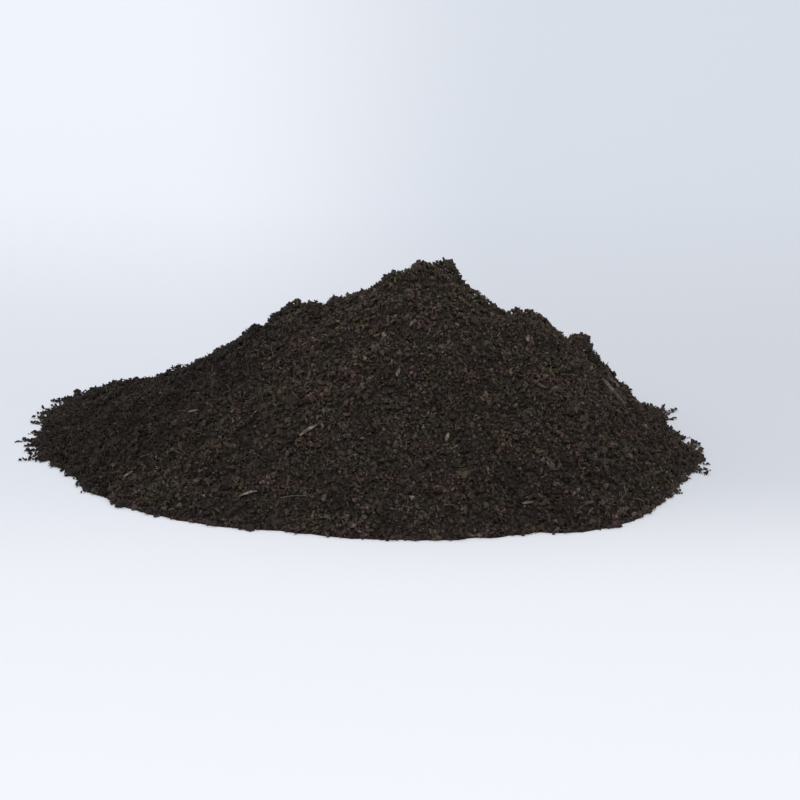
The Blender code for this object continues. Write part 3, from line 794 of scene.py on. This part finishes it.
FOOT_INSIDE = 20 * MM  # within this of the summit, a point of the underside isn't on the foot's rim
TOE_SPACING = 1.1 * MM
TOE_BAND = (-4.0 * MM, 1.2 * MM)
TOE_BANK = 0.6  # the slope on which the first of them lie
TOE_REST = 0.40  # of its size, from the ground to a crumb's middle
TOE_STEPS = 16
TOE_CHILDREN = 0.24  # of the crumbs, on which another has stopped, along the sides
TOE_END_CHILDREN = 0.80  # the same at the two ends
TOE_MOST_CHILDREN = 0.92
TOE_END = (0.72, 0.92)  # of the way from the middle to an end, where the sides pass into the ends
TOE_BUNCHING = 0.22  # how far that share swings up and down along the toe
TOE_BUNCH = 7 * MM
TOE_LAST = 6.5 * MM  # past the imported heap's two ends, beyond which none stops on another
TOE_TOUCH = 0.78  # of two crumbs' half sizes, from middle to middle
TOE_SIZES = (1.4 * MM, 2.2 * MM, 3.2 * MM, 4.4 * MM)
TOE_SHARES = (0.34, 0.36, 0.22, 0.08)
ROLLED_SIZES = (0.9 * MM, 1.8 * MM, 3.0 * MM, 4.4 * MM)  # of those that lie beyond the first
ROLLED_SHARES = (0.40, 0.26, 0.24, 0.10)
TOE_SWING = 1.0  # radians, off the way outward
TOE_ROUGHING = 0.22
TOE_STUBBY_SHARE = 0.92
TOE_PALEST = 0.98


def along_ring(way):
    """The place at each way round the foot's rim, in metres from its start: straight between its points."""
    return np.column_stack([np.interp(way, travel, ring[:, 0]), np.interp(way, travel, ring[:, 1])])


foot = mass_points[mass_points[:, 2] < 0.001 * MM]
middle = (foot.max(axis=0) + foot.min(axis=0)) / 2
foot = foot[np.linalg.norm((foot - summit)[:, :2], axis=1) > FOOT_INSIDE]
foot = foot[np.argsort(np.arctan2(foot[:, 1] - middle[1], foot[:, 0] - middle[0]))]
ring = np.vstack([foot, foot[:1]])[:, :2]
travel = np.append(0, np.linalg.norm(np.diff(ring, axis=0), axis=1).cumsum())
count = int(travel[-1] / TOE_SPACING)
at = dice.uniform(0, travel[-1], count)
on_ring = along_ring(at)
ahead = along_ring(at + MM) - on_ring
outward = unit(np.column_stack([ahead[:, 1], -ahead[:, 0]]))
outward *= np.sign((outward * (on_ring - middle[:2])).sum(axis=1, keepdims=True))
sizes = picked_sizes(count, TOE_SIZES, TOE_SHARES)
out = dice.uniform(*TOE_BAND, count)
bank = (-TOE_BANK * out).clip(0, TOE_THICKNESS)
height = TOE_REST * sizes + dice.uniform(0, 1, count) * bank
generation = [np.column_stack([on_ring + outward * out[:, None], height]), sizes, outward]
toe_centres, toe_sizes = [generation[0]], [generation[1]]
for step in range(TOE_STEPS):
    centres, sizes, outward = generation
    way_out = np.abs(centres[:, 0] - middle[0]) / (np.ptp(foot[:, 0]) / 2)
    end = ((way_out - TOE_END[0]) / (TOE_END[1] - TOE_END[0])).clip(0, 1)
    chance = TOE_CHILDREN + (TOE_END_CHILDREN - TOE_CHILDREN) * end
    chance = (chance + TOE_BUNCHING * waver(centres, TOE_BUNCH, 31)).clip(0, TOE_MOST_CHILDREN)
    chance[np.abs(centres[:, 0]) > cad_box[1][0] + TOE_LAST] = 0
    parent = np.flatnonzero(dice.random(len(centres)) < chance)
    child_sizes = picked_sizes(len(parent), ROLLED_SIZES, ROLLED_SHARES)
    swing = dice.normal(scale=TOE_SWING, size=len(parent))
    across = np.column_stack([-outward[parent, 1], outward[parent, 0]])
    way = outward[parent] * np.cos(swing)[:, None] + across * np.sin(swing)[:, None]
    reach = TOE_TOUCH * (sizes[parent] + child_sizes) / 2
    child_plan = centres[parent, :2] + way * reach[:, None]
    generation = [np.column_stack([child_plan, TOE_REST * child_sizes]), child_sizes, outward[parent]]
    toe_centres.append(generation[0])
    toe_sizes.append(generation[1])
centres, sizes = np.vstack(toe_centres), np.concatenate(toe_sizes)
shades = dice.random(len(centres)) * TOE_PALEST
points, faces, cells, carried = lump_arrays(
    TOE_BALL, centres, sizes, shades, TOE_ROUGHING, TOE_STUBBY_SHARE)
add_piece("toe_fringe", points, faces, "crumb", crumb_material, cells, smooth=False, **carried)


# The clumps on the left shoulder. Where two pours met, damp crumbs stuck together in low clumps, which stand a
# few millimetres out of the skyline. Each is a dome, whose height falls with the square of the way out.

SHOULDER_CLUMPS = ((-54 * MM, 17 * MM, 7.5 * MM), (-18 * MM, 14 * MM, 5.0 * MM))  # place along, reach, height
CLUMP_PLACES = 60000  # tried over the whole heap
CLUMP_CRUMBS = (2.6 * MM, 4.4 * MM)
CLUMP_PALEST = 0.9
RIDGE_SLICE = 3 * MM  # either side of a clump's place, where the ridge's highest point is its middle

places, normals = scattered(skin_points, skin_upper, CLUMP_PLACES)
clumps = []
for along, reach, height in SHOULDER_CLUMPS:
    ridge = skin_points[np.abs(skin_points[:, 0] - along) < RIDGE_SLICE]
    crest = ridge[ridge[:, 2].argmax()]
    way_out = np.linalg.norm(places[:, :2] - crest[:2], axis=1) / reach
    lifts = height * (1 - way_out ** 2) * np.sqrt(dice.random(CLUMP_PLACES))
    clumps.append((places + lifts[:, None] * (0, 0, 1))[way_out < 1])
centres = np.vstack(clumps)
sizes = dice.uniform(*CLUMP_CRUMBS, len(centres))
shades = dice.random(len(centres)) * CLUMP_PALEST
points, faces, cells, carried = lump_arrays(CRUMB_BALL, centres, sizes, shades)
add_piece("shoulder_clumps", points, faces, "crumb", crumb_material, cells, smooth=False, **carried)


# The stage. A pale paper sweep under a soft studio sky with one broad lamp above and in front. Painted shade
# makes the paper greyer beside the heap and to the back right, and darker in front towards the lamp. The camera
# stands where the photograph's did.

SWEEP_HALF_WIDTH = 7.0
SWEEP_FRONT = -4.5
SWEEP_BEND_START = 1.2
SWEEP_BEND_RADIUS = 2.0
SWEEP_HEIGHT = 4.0
BEND_STEPS = 16
# The paper's colours hold painted shade: darker beside the heap and to the back right, paler far to the left.
PAPER_FRONT_SHADED = (0.768, 0.780, 0.815)
PAPER_NEAR_SHADED = ((0.694, 0.716, 0.771), (0.616, 0.636, 0.685))  # beside the heap, left and right, darkened there as painted shadow
PAPER_FAR_SHADED = ((0.900, 0.925, 0.982), (0.730, 0.765, 0.822))
FRONT_TO_NEAR = (-0.36, -0.08)  # metres back from the heap's middle, between which one passes into the next
NEAR_TO_FAR = (0.0, 1.5)
FAN_START = 1.2  # metres in front of the heap, from where left and right fan out
LEFT_TO_RIGHT = (-0.13, 0.09)  # metres to the right for each metre away from there
# Painted shade over the paper in front, darkest between the heap and the lamp, to hold down the pool of the
# lamp's light.
UNDER_LAMP_SHADE = ((0.00, 1.00), (0.12, 0.77), (0.34, 0.69), (0.60, 0.75), (0.87, 0.90), (1.00, 0.94))
UNDER_LAMP_SHADE_START = -0.7  # the stops above run from here to the sweep's front edge
SKY = (0.985, 0.99, 1.0)
SKY_STRENGTH = 0.80
SKY_SEEN = (0.800, 0.814, 0.845)  # as bright as the paper that it ends on
LAMP_POWER = 84.0
LAMP_PLACE = (-0.35, -3.1, 2.45)
LAMP_SIZE = (3.0, 2.0)
LAMP_AIM = Vector((0, 0, 0.05))
CAMERA_LENS = 70.0
CAMERA_DISTANCE = 1.2444
CAMERA_ELEVATION = math.radians(14.25)
CAMERA_AIM = Vector((0.0328, 0.0044, 0.0300))

bend = np.linspace(0, math.pi / 2, BEND_STEPS + 1)
bent = SWEEP_BEND_RADIUS * np.column_stack([np.sin(bend), 1 - np.cos(bend)]) + (SWEEP_BEND_START, 0)
profile = np.vstack([[SWEEP_FRONT, 0], bent, [SWEEP_BEND_START + SWEEP_BEND_RADIUS, SWEEP_HEIGHT]])
across = np.linspace(-SWEEP_HALF_WIDTH, SWEEP_HALF_WIDTH, 9)
rows, columns = len(profile), len(across)
sweep_points = np.column_stack([
    np.tile(across, rows), np.repeat(profile[:, 0], columns), np.repeat(profile[:, 1], columns)])
corner = (np.arange(rows - 1)[:, None] * columns + np.arange(columns - 1)).ravel()
sweep_faces = np.column_stack([corner, corner + 1, corner + columns + 1, corner + columns])
sweep_mesh = bpy.data.meshes.new("paper_sweep")
sweep_mesh.from_pydata(sweep_points.tolist(), [], sweep_faces.tolist())
sweep_mesh.shade_smooth()
sweep = bpy.data.objects.new("paper_sweep", sweep_mesh)
bpy.context.scene.collection.objects.link(sweep)
paper = Finish("studio_paper_painted_shade")


def passage(value, start, end, smoothing="SMOOTHSTEP"):
    """From 0 at the start to 1 at the end and past it, eased between them unless the smoothing is LINEAR."""
    sockets = {"Value": value, "From Min": start, "From Max": end}
    return value.finish.node("ShaderNodeMapRange", {"interpolation_type": smoothing}, sockets)


rightward, backward, upward = (
    paper.node("ShaderNodeSeparateXYZ", {}, {0: paper.place()}, axis) for axis in range(3))
away = backward + upward
right_share = passage(rightward / (away + FAN_START), *LEFT_TO_RIGHT)
# The paper's colour with its painted shade, fanned out from in front of the heap.
beside = paper.mixed(right_share, *PAPER_NEAR_SHADED)
beyond = paper.mixed(right_share, *PAPER_FAR_SHADED)
paper_colour_and_shade = paper.mixed(passage(away, *NEAR_TO_FAR), beside, beyond)
paper_colour_and_shade = paper.mixed(passage(away, *FRONT_TO_NEAR), PAPER_FRONT_SHADED, paper_colour_and_shade)
# Painted shade in front, towards the lamp.
forward = passage(away, UNDER_LAMP_SHADE_START, SWEEP_FRONT, "LINEAR")
painted_lamp_shade = paper.ramp(forward, *((place, (grey, grey, grey)) for place, grey in UNDER_LAMP_SHADE))
paper_colour_and_shade = paper.mixed(1.0, paper_colour_and_shade, painted_lamp_shade, "MULTIPLY")
paper.tree.links.new(paper_colour_and_shade.socket, paper.shader.inputs["Base Color"])
paper.shader.inputs["Roughness"].default_value = 1.0
paper.shader.inputs["Specular IOR Level"].default_value = 0.0
sweep_mesh.materials.append(paper.material)

sky = bpy.data.worlds.new("studio_sky")
sky.use_nodes = True
sky_nodes = sky.node_tree.nodes
lit = sky_nodes["Background"]
seen = sky_nodes.new("ShaderNodeBackground")
for background, colour, strength in ((lit, SKY, SKY_STRENGTH), (seen, SKY_SEEN, 1.0)):
    background.inputs["Color"].default_value = (*colour, 1)
    background.inputs["Strength"].default_value = strength

# Camera rays, and glossy and transmitted ones, see a sky as bright as the paper. The rest find the one that
# lights the heap.
ray = sky_nodes.new("ShaderNodeLightPath")
direct_or_glossy = sky_nodes.new("ShaderNodeMath")
looked_at = sky_nodes.new("ShaderNodeMath")
either = sky_nodes.new("ShaderNodeMixShader")
for output, socket in (
    (ray.outputs["Is Camera Ray"], direct_or_glossy.inputs[0]),
    (ray.outputs["Is Glossy Ray"], direct_or_glossy.inputs[1]),
    (direct_or_glossy.outputs[0], looked_at.inputs[0]),
    (ray.outputs["Is Transmission Ray"], looked_at.inputs[1]),
    (looked_at.outputs[0], either.inputs[0]),
    (lit.outputs[0], either.inputs[1]),
    (seen.outputs[0], either.inputs[2]),
    (either.outputs[0], sky_nodes["World Output"].inputs["Surface"]),
):
    sky.node_tree.links.new(output, socket)
bpy.context.scene.world = sky

lamp_data = bpy.data.lights.new("soft_box", "AREA")
lamp_data.shape = "RECTANGLE"
lamp_data.size, lamp_data.size_y = LAMP_SIZE
lamp_data.energy = LAMP_POWER
lamp = bpy.data.objects.new("soft_box", lamp_data)
lamp.location = LAMP_PLACE
lamp.rotation_euler = (LAMP_AIM - lamp.location).to_track_quat("-Z", "Y").to_euler()
bpy.context.scene.collection.objects.link(lamp)

camera_data = bpy.data.cameras.new("camera")
camera_data.lens = CAMERA_LENS
camera = bpy.data.objects.new("camera", camera_data)
backwards = Vector((0, -math.cos(CAMERA_ELEVATION), math.sin(CAMERA_ELEVATION)))
camera.location = CAMERA_AIM + backwards * CAMERA_DISTANCE
camera.rotation_euler = (-backwards).to_track_quat("-Z", "Y").to_euler()
bpy.context.scene.collection.objects.link(camera)
bpy.context.scene.camera = camera
bpy.context.scene.view_settings.view_transform = "Standard"
